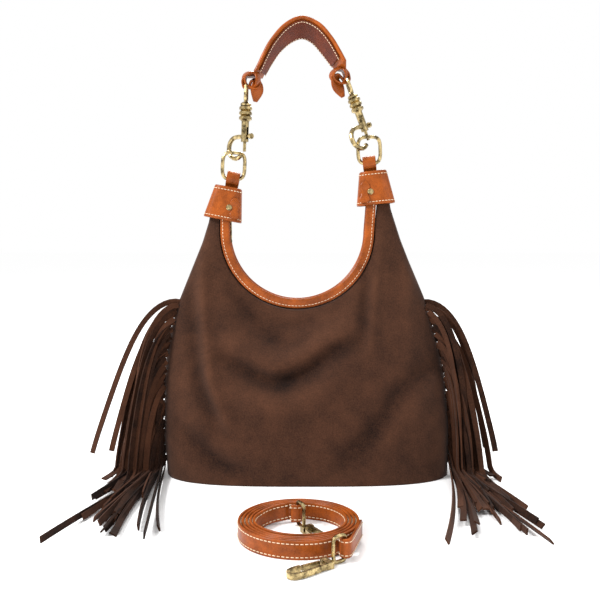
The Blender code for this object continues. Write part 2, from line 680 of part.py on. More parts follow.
def build_hook(letter, parent, frame):
    """Flat-bar spring hook on a swivel ring. Local +X runs from the ring towards the hook's nose."""
    swivel = empty("strap_hook_%s_axis" % letter, frame, parent)
    shank = spline([(x, y, 0) for x, y in ((8, 4.2), (21, 5.2), (37, 6.2), (45, 4.8), (48, 0),
                                           (45, -4.8), (38, -6.2), (32, -5.8))], 2)
    outline = ribbon_outline([Vector((p.x, p.y)) for p in shank], 1.5)
    hook = flat_extrusion("strap_hook_" + letter, outline, -HOOK_HALF, HOOK_HALF, ANTIQUE_BRASS, swivel, frame)
    block = cutter_from("hook_block_" + letter, box_mesh((3.0, -6.2, -3.2), (10.0, 6.2, 3.2)), swivel, frame)
    boolean(hook, "UNION", block)
    bore = cutter_from("hook_bore_" + letter, wire_mesh([(2.0, 0, 0), (8.4, 0, 0)], 1.9), swivel, frame)
    boolean(hook, "DIFFERENCE", bore)
    hinge_at = frame @ Matrix.Translation(vec((11.4, -4.2, 0)))
    hinge = empty("strap_gate_%s_axis" % letter, hinge_at, swivel)
    lever = [Vector((x, y)) for x, y in ((0.3, 0), (10, -0.8), (19.4, -1.4))]
    flat_extrusion("strap_gate_" + letter, ribbon_outline(lever, 1.1), -2.3, 2.3, ANTIQUE_BRASS, hinge,
                   hinge_at)
    ring = []
    for i in range(20):
        a = 2 * math.pi * i / 20
        c, s = math.cos(a), math.sin(a)
        ring.append(Vector((HOOK_RING_X + HOOK_RING_HALF * math.copysign(abs(c) ** 0.42, c), 0,
                            RING_RISE + 11.8 * math.copysign(abs(s) ** 0.42, s))))
    eye = add("strap_hook_eye_" + letter, wire_mesh(ring, HOOK_RING_WIRE, closed=True), ANTIQUE_BRASS,
              parent, frame)
    stem = cutter_from("eye_stem_" + letter, wire_mesh([(-0.8, 0, 0), (7.8, 0, 0)], 1.5), parent, frame)
    boolean(eye, "UNION", stem)


def hook_frame(spot, heading):
    """Frame of a hook that lies flat on the floor."""
    return Matrix.Translation(vec((*spot, 3.5))) @ Matrix.Rotation(math.radians(heading), 4, "Z")


def build_shoulder_strap():
    """The coiled strap, folded round the upright bar of a hook's ring at each end."""
    lift = empty("strap_lift_axis", Matrix.Translation(vec((COIL_X, COIL_Y, 0))))
    plans = [coil_path()]
    raised = STRAP_WIDTH / 2 + RING_RISE + 3.5 - STRAP_WIDTH / 2
    for letter, spec in HOOKS.items():
        frame = hook_frame(spec["spot"], spec["heading"])
        build_hook(letter, lift, frame)
        bar = (frame @ vec((HOOK_RING_X - HOOK_RING_HALF, 0, 0)) / MM).xy
        arrive = Vector((math.cos(math.radians(spec["arrive"])), math.sin(math.radians(spec["arrive"]))))
        plans.append(end_turn(bar, arrive, spec["turn"]))
    plan = plans[1][::-1] + plans[0] + plans[2]
    folded = len(plans[1]), len(plan) - len(plans[2])
    sections = []
    for i, point in enumerate(plan):
        run = (plan[min(i + 1, len(plan) - 1)] - plan[max(i - 1, 0)]).normalized()
        side = Vector((-run.y, run.x)) * STRAP_THICK / 2
        steps_in = max(folded[0] - 1 - i, i - folded[1], -RAISE_STEPS)
        height = STRAP_WIDTH / 2 + (raised - STRAP_WIDTH / 2) * min(1.0, 1 + steps_in / RAISE_STEPS)
        half = STRAP_WIDTH / 2
        sections.append([Vector((point.x + k * side.x, point.y + k * side.y, height + h))
                         for k, h in ((-1, -half), (1, -half), (1, half), (-1, half))])
    add("shoulder_strap", loft_mesh(sections), TAN_LEATHER, lift)


# ---- fringe ---------------------------------------------------------------------------
def fringe_surface(sign, rows, cols):
    """Curtain of the fringe: rows run down the side seam, columns out along the strands."""
    grid = []
    for i in range(rows + 1):
        share = i / rows
        seam = seam_point(sign, share)
        grid.append([strand_point(sign, share, j / cols, seam) for j in range(cols + 1)])
    return grid


def seam_point(sign, share):
    """Where the strands are sewn in, from the top of the fringe to the base."""
    z = FRINGE_TOP - (FRINGE_TOP - 9.0) * share
    level = z / (350.0 if sign < 0 else 370.0)
    edge = body_point(0.0 if sign < 0 else 1.0, level)
    return Vector((edge.x + sign * 5.5, -8.0 - 26.0 * share, z))


def strand_point(sign, share, along, seam):
    """A strand springs out from the seam, falls, and lies on the floor if it is long enough."""
    reach = FRINGE_LENGTH * along
    out = FRINGE_OUT[sign] - 60.0 * share
    forward = 40.0 + 218.0 * share ** 1.2
    x = seam.x + sign * out * (1 - math.exp(-2.2 * along)) / (1 - math.exp(-2.2))
    drop = max(0.0, reach - out * along * 0.6)
    y = seam.y - forward * along ** 1.5
    spring = 14 * math.sin(math.pi * min(1, along * 3)) * (1 - share)
    z = max(seam.z + spring - drop, 3.8 + 6 * (1 - share))
    return Vector((x, y, z))


def build_fringe(side, sign):
    grid = fringe_surface(sign, 10, 8)
    shape = bmesh.new()
    verts = [[shape.verts.new(vec(p)) for p in row] for row in grid]
    for a, b in zip(verts, verts[1:]):
        for i in range(len(a) - 1):
            shape.faces.new((a[i], a[i + 1], b[i + 1], b[i]))
    bmesh.ops.recalc_face_normals(shape, faces=shape.faces)
    mesh = bpy.data.meshes.new("fringe_" + side)
    shape.to_mesh(mesh)
    shape.free()
    item = add("fringe_" + side, mesh, SUEDE_BROWN)
    skin = item.modifiers.new("thickness", "SOLIDIFY")
    skin.thickness = FRINGE_THICK * MM
    skin.offset = 0.0
    return item


clear_scene()
PARTS = collection("fringed_suede_bag")
CUTTERS = collection("cutters")
SUEDE_BROWN = material("brown suede", (0.105, 0.042, 0.022), 0.95)
TAN_LEATHER = material("tan waxed leather", (0.46, 0.13, 0.03), 0.32)
LINING_LEATHER = material("brown lining leather", (0.15, 0.045, 0.02), 0.55)
LINING_CLOTH = material("lining cloth", (0.14, 0.09, 0.055), 0.9)
BOARD_GREY = material("stiffening board", (0.30, 0.28, 0.25), 0.85)
ZIP_BROWN = material("brown zip tape", (0.07, 0.035, 0.02), 0.7)
ANTIQUE_BRASS = material("antique brass", (0.36, 0.27, 0.12), 0.32, 1.0)
STEEL = material("spring steel", (0.5, 0.5, 0.5), 0.3, 1.0)

build_body()
build_zip()
SWING = empty("handle_swing_axis", swing_frame())
for SIDE in ("left", "right"):
    build_ear(SIDE)
    build_ring(SIDE, SWING)
    build_snap(SIDE, SWING)
build_handle(SWING)
build_shoulder_strap()
build_fringe("left", -1)
build_fringe("right", 1)
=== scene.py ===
"""Looks of the fringed suede hobo bag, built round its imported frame.

Lengths in the classes are millimetres and are turned to metres by MM. The bag stands on the
floor, +Z up, its front towards -Y.
"""
import logging
import math
import random
from dataclasses import dataclass, field
from enum import Enum

import bmesh
import bpy
import numpy as np
from mathutils import Matrix, Vector


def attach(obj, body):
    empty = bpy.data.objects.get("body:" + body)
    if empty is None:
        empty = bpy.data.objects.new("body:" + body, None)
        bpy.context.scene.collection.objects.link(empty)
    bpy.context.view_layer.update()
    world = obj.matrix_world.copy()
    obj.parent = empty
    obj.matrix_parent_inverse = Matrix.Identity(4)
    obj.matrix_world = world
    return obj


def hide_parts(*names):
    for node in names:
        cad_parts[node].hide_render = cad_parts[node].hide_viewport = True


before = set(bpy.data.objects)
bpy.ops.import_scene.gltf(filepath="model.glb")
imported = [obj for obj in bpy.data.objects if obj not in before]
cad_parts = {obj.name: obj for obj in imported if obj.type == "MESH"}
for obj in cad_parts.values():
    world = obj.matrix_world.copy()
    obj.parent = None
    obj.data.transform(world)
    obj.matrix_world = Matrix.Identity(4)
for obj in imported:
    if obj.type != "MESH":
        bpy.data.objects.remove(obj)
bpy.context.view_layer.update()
MM = 0.001
LOG = logging.getLogger("bag")


class Side(Enum):
    """The two ends of the bag. The value is the sign of x there."""

    LEFT = -1
    RIGHT = 1


# ---- materials ------------------------------------------------------------------------
def srgb(code: str) -> tuple[float, float, float, float]:
    """Turn an sRGB hex colour to linear.

    Args:
        code: six hex digits, without the hash.

    Returns:
        Linear red, green, blue and alpha 1.
    """
    parts = [int(code[i:i + 2], 16) / 255 for i in (0, 2, 4)]
    linear = [p / 12.92 if p <= 0.04045 else ((p + 0.055) / 1.055) ** 2.4 for p in parts]
    return (*linear, 1.0)


def add_node(tree: bpy.types.NodeTree, kind: str, inputs: dict | None = None,
             **settings: object) -> bpy.types.Node:
    """Add a node with its settings and links.

    Args:
        tree: node tree to add to.
        kind: type name of the node.
        inputs: socket name or number to a value, or to the output socket linked to it.
        settings: the node's own properties.

    Returns:
        The new node.
    """
    made = tree.nodes.new(kind)
    for name, value in settings.items():
        setattr(made, name, value)
    for key, value in (inputs or {}).items():
        if isinstance(value, bpy.types.NodeSocket):
            tree.links.new(value, made.inputs[key])
        else:
            made.inputs[key].default_value = value
    return made


@dataclass(frozen=True)
class Finish:
    """A surface with two colours mixed by mottling, a fine relief, and a shade attribute."""

    name: str
    slot: str
    deep: str                      # colour of the darker patches
    light: str                     # colour of the lighter patches
    roughness: float
    mottle_mm: float = 40.0        # size of the colour patches
    patchy: float = 0.6            # how far the patches differ
    grain_mm: float = 1.4          # size of the relief, drawn coarse enough to show
    relief_mm: float = 0.15
    pebbled: bool = False          # leather grain in cells, not fibres
    metallic: float = 0.0
    sheen: float = 0.0
    coat: float = 0.0
    specular: float = 0.5          # strength of the plain reflection
    weave: bool = False
    shade: float = 0.0             # how strongly the mesh's shade attribute counts: painted shade and highlight of the shell's folds, random tone of the fringe strands

    def build(self) -> bpy.types.Material:
        """Make the material.

        Returns:
            A new Principled material on Object coordinates.
        """
        made = bpy.data.materials.new(self.name)
        made.use_nodes = True
        tree = made.node_tree
        shader = tree.nodes["Principled BSDF"]
        place = add_node(tree, "ShaderNodeTexCoord").outputs["Object"]
        patches = add_node(tree, "ShaderNodeTexNoise", {
            "Vector": place, "Scale": 1 / (self.mottle_mm * MM), "Detail": 4.0, "Roughness": 0.6})
        fibres = add_node(tree, "ShaderNodeTexNoise", {
            "Vector": place, "Scale": 1 / (self.grain_mm * MM), "Detail": 2.0})
        share = add_node(tree, "ShaderNodeMapRange", {
            "Value": patches.outputs["Fac"], "From Min": 0.3, "From Max": 0.7,
            "To Min": 0.5 - self.patchy / 2, "To Max": 0.5 + self.patchy / 2}).outputs["Result"]
        speckle = add_node(tree, "ShaderNodeMath", {0: fibres.outputs["Fac"], 1: 0.8, 2: -0.4},
                           operation="MULTIPLY_ADD").outputs[0]
        share = add_node(tree, "ShaderNodeMath", {0: share, 1: speckle}, operation="ADD").outputs[0]
        # The shade attribute moves the colour towards the deep or the light one: on the suede shell it is
        # painted shade in the folds' valleys and a painted highlight on their ridges, and on the fringe it is
        # each strand's random tone.
        if self.shade:
            painted_shade_and_tone = add_node(tree, "ShaderNodeAttribute", attribute_name="shade").outputs["Fac"]
            share = add_node(tree, "ShaderNodeMath", {0: painted_shade_and_tone, 1: self.shade, 2: share},
                             operation="MULTIPLY_ADD").outputs[0]
        colour = add_node(tree, "ShaderNodeMix", {0: share, 6: srgb(self.deep), 7: srgb(self.light)},
                          data_type="RGBA", clamp_factor=True).outputs[2]
        tree.links.new(colour, shader.inputs["Base Color"])
        height = fibres.outputs["Fac"]
        if self.pebbled:
            height = add_node(tree, "ShaderNodeTexVoronoi", {
                "Vector": place, "Scale": 1 / (self.grain_mm * MM)}, feature="SMOOTH_F1").outputs["Distance"]
        if self.weave:
            spacing = {"Vector": place, "Scale": 0.3 / (self.grain_mm * MM)}
            threads = [add_node(tree, "ShaderNodeTexWave", spacing, bands_direction=way).outputs["Fac"]
                       for way in ("X", "Z")]
            height = add_node(tree, "ShaderNodeMath", {0: threads[0], 1: threads[1]},
                              operation="MAXIMUM").outputs[0]
        bump = add_node(tree, "ShaderNodeBump", {"Height": height, "Distance": self.relief_mm * MM,
                                                 "Strength": 0.8})
        tree.links.new(bump.outputs["Normal"], shader.inputs["Normal"])
        gloss = add_node(tree, "ShaderNodeMapRange", {
            "Value": patches.outputs["Fac"], "To Min": self.roughness * 0.8,
            "To Max": min(1.0, self.roughness * 1.25)}).outputs["Result"]
        tree.links.new(gloss, shader.inputs["Roughness"])
        shader.inputs["Metallic"].default_value = self.metallic
        shader.inputs["Specular IOR Level"].default_value = self.specular
        shader.inputs["Sheen Weight"].default_value = self.sheen
        shader.inputs["Sheen Roughness"].default_value = 0.5
        shader.inputs["Coat Weight"].default_value = self.coat
        shader.inputs["Coat Roughness"].default_value = 0.22
        return made


# Napped split cowhide: no gloss, its colour mottled at random, with painted shade dark in the folds' valleys
# and a painted highlight on their ridges through the shade attribute.
SUEDE = Finish("napped brown suede", "suede", "180c07", "4e3122", 0.95, 34.0, 0.4, 1.5, 0.3,
               sheen=0.06, shade=0.36, specular=0.08)
FRINGE_SUEDE = Finish("cut suede strands", "suede", "160a05", "4e3021", 0.95, 26.0, 0.4, 1.5, 0.25,
                      sheen=0.04, shade=0.6, specular=0.08)
# Waxed vegetable-tanned leather: glossy, warm orange-brown, its pebbled grain drawn coarse enough to show.
TAN = Finish("waxed tan leather", "tan_leather", "5c2908", "a04f18", 0.36, 22.0, 0.8, 1.3, 0.1,
             pebbled=True, coat=0.16, specular=0.1)
# Smooth lining leather: duller and redder than the tan.
UNDERSIDE = Finish("red-brown lining leather", "lining_leather", "38140a", "6e3018", 0.5, 18.0, 0.5, 1.2,
                   0.12, pebbled=True, coat=0.05, specular=0.15)
# Antiqued brass: pale yellow metal, its colour patched in small patches from nearly black to bright as
# painted reflection of the studio.
BRASS = Finish("antique brass", "antique_brass", "2c2212", "cdb683", 0.26, 6.0, 1.0, 0.9, 0.008, metallic=1.0)
# Drawn steel wire: plain grey metal.
STEEL = Finish("spring steel wire", "spring_steel", "6e6e70", "b4b4b6", 0.3, 5.0, 0.5, 0.6, 0.02,
               metallic=1.0)
# Waxed thread: pale cream, slightly glossy.
THREAD = Finish("waxed cream thread", "tan_leather", "c9a882", "f0dfc4", 0.6, 4.0, 0.6, 0.4, 0.05)
# Plain woven cotton: matt, with its threads drawn coarse enough to show.
COTTON = Finish("plain woven cotton", "lining_cloth", "4a3a2a", "6e5840", 0.9, 30.0, 0.4, 1.2, 0.15,
                weave=True)
TAPE = Finish("woven zip tape", "zip_tape", "21130c", "3d271a", 0.8, 12.0, 0.4, 0.8, 0.1, weave=True)
BOARD = Finish("grey fibre board", "board", "7d7870", "a39d92", 0.85, 25.0, 0.4, 1.0, 0.08)


# ---- mesh helpers ---------------------------------------------------------------------
def to_object(name: str, mesh: bpy.types.Mesh, material: bpy.types.Material) -> bpy.types.Object:
    """Link a mesh as an object at the origin, with one material and smooth faces.

    Args:
        name: name of the object.
        mesh: finished mesh in metres.
        material: its only material.

    Returns:
        The linked object.
    """
    item = bpy.data.objects.new(name, mesh)
    bpy.context.scene.collection.objects.link(item)
    mesh.materials.clear()
    mesh.materials.append(material)
    mesh.polygons.foreach_set("use_smooth", [True] * len(mesh.polygons))
    return item


def loft(name: str, rings: list[list[Vector]], caps: bool = True, looped: bool = False) -> bpy.types.Mesh:
    """Skin a row of closed rings of equal length, given in millimetres.

    Args:
        name: name of the mesh.
        rings: cross-sections in order.
        caps: close the two ends with a face.
        looped: join the last ring to the first.

    Returns:
        A mesh in metres with its faces pointing outwards.
    """
    shape = bmesh.new()
    rows = [[shape.verts.new(p * MM) for p in ring] for ring in rings]
    pairs = list(zip(rows, rows[1:])) + ([(rows[-1], rows[0])] if looped else [])
    for low, high in pairs:
        for i in range(len(low)):
            j = (i + 1) % len(low)
            shape.faces.new((low[i], low[j], high[j], high[i]))
    if caps and not looped:
        shape.faces.new(rows[0][::-1])
        shape.faces.new(rows[-1])
    bmesh.ops.recalc_face_normals(shape, faces=shape.faces)
    mesh = bpy.data.meshes.new(name)
    shape.to_mesh(mesh)
    shape.free()
    return mesh


def spline(points: list[Vector], per_span: int) -> list[Vector]:
    """Catmull-Rom curve through points.

    Args:
        points: places that the curve passes through.
        per_span: steps between each two.

    Returns:
        Points along the curve, both ends among them.
    """
    result = []
    for i in range(len(points) - 1):
        a, b = points[max(i - 1, 0)], points[i]
        c, d = points[i + 1], points[min(i + 2, len(points) - 1)]
        for k in range(per_span):
            t = k / per_span
            result.append(0.5 * (2 * b + (c - a) * t + (2 * a - 5 * b + 4 * c - d) * t * t
                                 + (3 * b - a - 3 * c + d) * t ** 3))
    return result + [points[-1].copy()]


def oval(centre: Vector, across: Vector, along: Vector, half: tuple[float, float],
         power: float, count: int) -> list[Vector]:
    """Superellipse ring about a centre.

    Args:
        centre: middle of the ring.
        across: unit direction of its first half size.
        along: unit direction of its second.
        half: the two half sizes.
        power: 2 is an ellipse, and more gives squarer corners.
        count: number of points.

    Returns:
        The ring's points in order.
    """
    ring = []
    for i in range(count):
        c, s = math.cos(2 * math.pi * i / count), math.sin(2 * math.pi * i / count)
        ring.append(centre + across * half[0] * math.copysign(abs(c) ** (2 / power), c)
                    + along * half[1] * math.copysign(abs(s) ** (2 / power), s))
    return ring


def path_object(name: str, paths: list[list[Vector]], tilts: list | None = None) -> bpy.types.Object:
    """Curve object with one straight-run spline per path, given in millimetres.

    Args:
        name: name of the curve.
        paths: points of each spline.
        tilts: for each path, its twist in radians at the start and at the end.

    Returns:
        The curve object, linked to the scene.
    """
    data = bpy.data.curves.new(name, "CURVE")
    data.dimensions = "3D"
    data.twist_mode = "MINIMUM"
    for path, (start, end) in zip(paths, tilts or [(0.0, 0.0)] * len(paths)):
        run = data.splines.new("POLY")
        run.points.add(len(path) - 1)
        for i, (point, place) in enumerate(zip(run.points, path)):
            point.co = (*(place * MM), 1.0)
            point.tilt = start + (end - start) * i / len(path)
    item = bpy.data.objects.new(name, data)
    bpy.context.scene.collection.objects.link(item)
    return item


# ---- geometry nodes -------------------------------------------------------------------
class Repeat:
    """A Geometry Nodes tree that turns paths to repeated pieces, with named number inputs."""

    def __init__(self, name: str, numbers: dict[str, float]) -> None:
        """Make the tree's interface.

        Args:
            name: name of the tree.
            numbers: name and default of each size input, in metres.
        """
        self.tree = bpy.data.node_groups.new(name, "GeometryNodeTree")
        face = self.tree.interface
        face.new_socket("Geometry", in_out="INPUT", socket_type="NodeSocketGeometry")
        for label, value in numbers.items():
            face.new_socket(label, in_out="INPUT", socket_type="NodeSocketFloat").default_value = value
        face.new_socket("Material", in_out="INPUT", socket_type="NodeSocketMaterial")
        face.new_socket("Geometry", in_out="OUTPUT", socket_type="NodeSocketGeometry")
        self.source = add_node(self.tree, "NodeGroupInput").outputs

    def close(self, geometry: bpy.types.NodeSocket) -> None:
        """End the tree with real geometry and its material.

        Args:
            geometry: output socket of the last step.
        """
        real = add_node(self.tree, "GeometryNodeRealizeInstances", {"Geometry": geometry})
        dressed = add_node(self.tree, "GeometryNodeSetMaterial", {
            "Geometry": real.outputs[0], "Material": self.source["Material"]})
        add_node(self.tree, "NodeGroupOutput", {"Geometry": dressed.outputs[0]})

    def run(self, name: str, paths: list[list[Vector]], material: bpy.types.Material,
            tilts: list | None = None, **sizes: float) -> bpy.types.Object:
        """Run the tree over paths and keep the result as a plain mesh.

        Args:
            name: name of the finished piece.
            paths: lines in millimetres.
            material: finish of the piece.
            tilts: twist of each path at its start and end, in radians.
            sizes: values in millimetres for the named inputs.

        Returns:
            The finished object, with no modifier.
        """
        source = path_object(name + "_path", paths, tilts)
        step = source.modifiers.new("repeat", "NODES")
        step.node_group = self.tree
        values = {label: value * MM for label, value in sizes.items()} | {"Material": material}
        for socket in self.tree.interface.items_tree:
            if socket.in_out == "INPUT" and socket.name in values:
                step[socket.identifier] = values[socket.name]
        ready = source.evaluated_get(bpy.context.evaluated_depsgraph_get())
        mesh = bpy.data.meshes.new_from_object(ready)
        bpy.data.objects.remove(source, do_unlink=True)
        return to_object(name, mesh, material)


def stitch_tree() -> Repeat:
    """Short round stitches laid along each path, one every Pitch.

    Returns:
        The finished tree.
    """
    made = Repeat("stitches", {"Pitch": 0.004, "Length": 0.0026, "Radius": 0.00045})
    tree, source = made.tree, made.source
    dots = add_node(tree, "GeometryNodeResampleCurve", {
        "Curve": source["Geometry"], "Length": source["Pitch"]}, mode="LENGTH")
    thread = add_node(tree, "GeometryNodeMeshCylinder", {
        "Vertices": 6, "Radius": source["Radius"], "Depth": source["Length"]})
    turn = add_node(tree, "FunctionNodeAlignRotationToVector", {
        "Vector": add_node(tree, "GeometryNodeInputTangent").outputs[0]}, axis="Z")
    row = add_node(tree, "GeometryNodeInstanceOnPoints", {
        "Points": dots.outputs[0], "Instance": thread.outputs["Mesh"], "Rotation": turn.outputs[0]})
    made.close(row.outputs[0])
    return made


def ribbon_tree() -> Repeat:
    """A flat strip with closed ends swept along each path.

    Returns:
        The finished tree.
    """
    made = Repeat("strips", {"Width": 0.006, "Thickness": 0.0016})
    tree, source = made.tree, made.source
    outline = add_node(tree, "GeometryNodeCurvePrimitiveQuadrilateral", {
        "Width": source["Thickness"], "Height": source["Width"]})
    strip = add_node(tree, "GeometryNodeCurveToMesh", {
        "Curve": source["Geometry"], "Profile Curve": outline.outputs[0], "Fill Caps": True})
    made.close(strip.outputs[0])
    return made


@dataclass
class Workshop:
    """The finishes and the trees that every sub-assembly draws on."""

    finishes: dict[str, bpy.types.Material] = field(default_factory=dict)
    stitches: Repeat = field(default_factory=stitch_tree)
    strips: Repeat = field(default_factory=ribbon_tree)

    def material(self, finish: Finish) -> bpy.types.Material:
        """The material of a finish, made once.

        Args:
            finish: the surface wanted.

        Returns:
            Its material, the same one each time.
        """
        if finish.name not in self.finishes:
            self.finishes[finish.name] = finish.build()
        return self.finishes[finish.name]

    def sew(self, name: str, paths: list[list[Vector]], body: str, pitch: float = 4.0) -> None:
        """Lay cream stitches along paths.

        Args:
            name: name of the piece.
            paths: seams in millimetres.
            body: body that the stitches ride on.
            pitch: distance from stitch to stitch in millimetres.
        """
        row = self.stitches.run(name, paths, self.material(THREAD), Pitch=pitch, Length=pitch * 0.66,
                                Radius=0.42)
        self.settle(row, THREAD, body)

    def settle(self, item: bpy.types.Object, finish: Finish, body: str, *nodes: str) -> None:
        """Hand a finished piece over to the frame.

        Args:
            item: the piece.
            finish: its surface; not used.
            body: body that it rides on.
            nodes: frame nodes that it stands for.
        """
        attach(item, body)
        if nodes:
            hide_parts(*nodes)
        LOG.info("%s: %d faces on %s", item.name, len(item.data.polygons), body)

    def dress(self, node: str, finish: Finish) -> None:
        """Give a frame node its finish.

        Args:
            node: name of the node.
            finish: surface to give it.
        """
        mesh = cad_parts[node].data
        mesh.materials.clear()
        mesh.materials.append(self.material(finish))


# ---- bag body -------------------------------------------------------------------------
@dataclass(frozen=True)
class Fold:
    """A crease that runs along points (x, z) on a panel: depth is negative in a valley."""

    points: tuple[tuple[float, float], ...]
    depth: float
    width: float

    def push(self, x: np.ndarray, z: np.ndarray) -> np.ndarray:
        """How far the fold pushes the panel out.

        Args:
            x: places across the panel in millimetres.
            z: their heights.

        Returns:
            The push at each place, in millimetres.
        """
        line = spline([Vector((*p, 0.0)) for p in self.points], 10)
        nearest = np.full(x.shape, 1e9)
        share = np.zeros(x.shape)
        for i, p in enumerate(line):
            gap = (x - p.x) ** 2 + (z - p.y) ** 2
            closer = gap < nearest
            nearest = np.where(closer, gap, nearest)
            share = np.where(closer, i / (len(line) - 1), share)
        fade = np.sqrt(np.clip(np.sin(np.pi * (0.06 + 0.88 * share)), 0, 1))
        return self.depth * fade * np.exp(-nearest / self.width ** 2)


# A ridge and a valley side by side make one crease: down from the ears, across the sagging
# middle, and up from the lower corners.
FRONT_FOLDS = (
    Fold(((-132, 268), (-131, 219), (-121, 136), (-110, 102), (-94, 69)), 6.0, 9.0),
    Fold(((-146, 215), (-137, 136), (-126, 102), (-108, 66)), -5.5, 10.0),
    Fold(((-89, 224), (-58, 181), (-29, 167)), -6.0, 11.0),
    Fold(((-101, 146), (-71, 130), (-38, 119), (-9, 128), (25, 149), (52, 163)), -11.0, 12.0),
    Fold(((-95, 168), (-66, 151), (-36, 143), (-6, 150), (22, 170), (46, 184)), 7.0, 15.0),
    Fold(((-80, 106), (-38, 95), (0, 103), (40, 130)), 5.0, 17.0),
    Fold(((-49, 194), (-18, 188), (13, 196)), -3.5, 9.0),
    Fold(((159, 134), (120, 113), (90, 74), (65, 47), (38, 19)), -7.5, 14.0),
    Fold(((150, 108), (116, 84), (92, 50)), 4.0, 16.0),
    Fold(((-156, 65), (-123, 38), (-94, 18), (-65, 6)), -6.0, 12.0),
    Fold(((88, 300), (85, 255), (81, 207), (76, 160)), 5.0, 8.0),
    Fold(((74, 262), (72, 230), (71, 194), (66, 160)), -5.0, 8.0),
    Fold(((124, 268), (127, 231), (124, 190)), 3.5, 9.0),
    Fold(((43, 236), (33, 194)), -2.5, 8.0))
BACK_FOLDS = (
    Fold(((125, 230), (112, 140), (90, 70)), 5.0, 11.0),
    Fold(((92, 150), (30, 116), (-30, 126), (-80, 160)), -9.0, 14.0),
    Fold(((88, 176), (30, 142), (-30, 150), (-76, 184)), 5.0, 16.0),
    Fold(((-150, 120), (-104, 80), (-60, 20)), -6.0, 14.0),
    Fold(((140, 60), (100, 25)), -5.0, 13.0))


@dataclass(frozen=True)
class BodyShape:
    """The slouched form that the suede and the lining share."""

    half_width: float = 178.0
    half_depth: float = 84.0
    corner: float = 3.2
    mouth_x: float = -13.0
    mouth_z: float = 303.0
    mouth_radius: float = 90.5
    rim_gap: float = 10.0
    ear_gap: float = 6.6
    left_ear: tuple = ((-118.4, 348.6), (-113.2, 348.6))
    right_ear: tuple = ((99.0, 366.0), (91.0, 366.0))
    left_outline: tuple = ((0, 0), (0.14, -0.085), (0.33, -0.085), (0.43, -0.03), (0.53, 0.085),
                           (0.625, 0.255), (0.83, 0.75), (0.905, 0.89), (1, 1))
    right_outline: tuple = ((0, 0), (0.17, -0.03), (0.31, 0.02), (0.395, 0.085), (0.487, 0.21),
                            (0.60, 0.37), (0.73, 0.63), (0.80, 0.76), (0.905, 0.92), (1, 1))

    def mouth(self, radius: float, left: tuple, right: tuple, steps: int) -> list[Vector]:
        """The U of the mouth in x and z.

        Args:
            radius: radius of its round part.
            left: where it starts, at the left ear.
            right: where it ends, at the right ear.
            steps: spans of the round part.

        Returns:
            Points from the left ear to the right.
        """
        points = [Vector(left), Vector((self.mouth_x - radius, self.mouth_z + 14))]
        for i in range(steps + 1):
            angle = math.pi * (1 + i / steps)
            points.append(Vector((self.mouth_x + radius * math.cos(angle),
                                  self.mouth_z + radius * math.sin(angle))))
        return points + [Vector((self.mouth_x + radius + 1, self.mouth_z + 14)), Vector(right)]

    def front(self, shares: int, levels: int, top: float, inset: float) -> np.ndarray:
        """Points of the front panel before its folds.

        Args:
            shares: spans across the panel.
            levels: spans from the base up.
            top: share of the full height that is covered.
            inset: how far the panel lies inside the suede.

        Returns:
            Array of rows from the base up, of points, of x, y and z.
        """
        edge_path = [Vector(self.left_ear[0])]
        edge_path += self.mouth(self.mouth_radius + 7.4, self.left_ear[1], self.right_ear[1], 60)
        edge_path += [Vector(self.right_ear[0])]
        places = np.array([(p.x, p.y) for p in edge_path])
        run = np.concatenate([[0], np.cumsum(np.linalg.norm(np.diff(places, axis=0), axis=1))])
        share = np.linspace(0, 1, shares + 1)
        high_x = np.interp(share * run[-1], run, places[:, 0])
        high_z = np.interp(share * run[-1], run, places[:, 1])
        angle = np.pi * (1 + share)
        c, s = np.cos(angle), np.sin(angle)
        low_x = np.sign(c) * np.abs(c) ** (2 / self.corner) * self.half_width
        low_y = -np.abs(s) ** (2 / self.corner) * self.half_depth
        edge = np.abs(2 * share - 1) ** 2
        rows = []
        for level in np.linspace(0, top, levels + 1):
            left = np.interp(level, *zip(*self.left_outline))
            right = np.interp(level, *zip(*self.right_outline))
            lean = level ** 1.4 * (1 - edge) + np.where(share < 0.5, left, right) * edge
            x = low_x + (high_x - low_x) * lean
            top_y = -self.rim_gap * np.sin(np.pi * share).clip(0) ** 0.3
            fall = np.cos(np.pi / 2 * level) ** (0.8 + 1.2 * edge) if level < 1 else 0.0
            y = low_y * fall + top_y * (1 - fall)
            if inset:
                x = x - inset * np.clip((x - self.mouth_x * level) / 120.0, -1, 1)
                y = np.minimum(0.0, y + inset)
            rows.append(np.stack([x, y, high_z * level], axis=1))
        return np.array(rows)


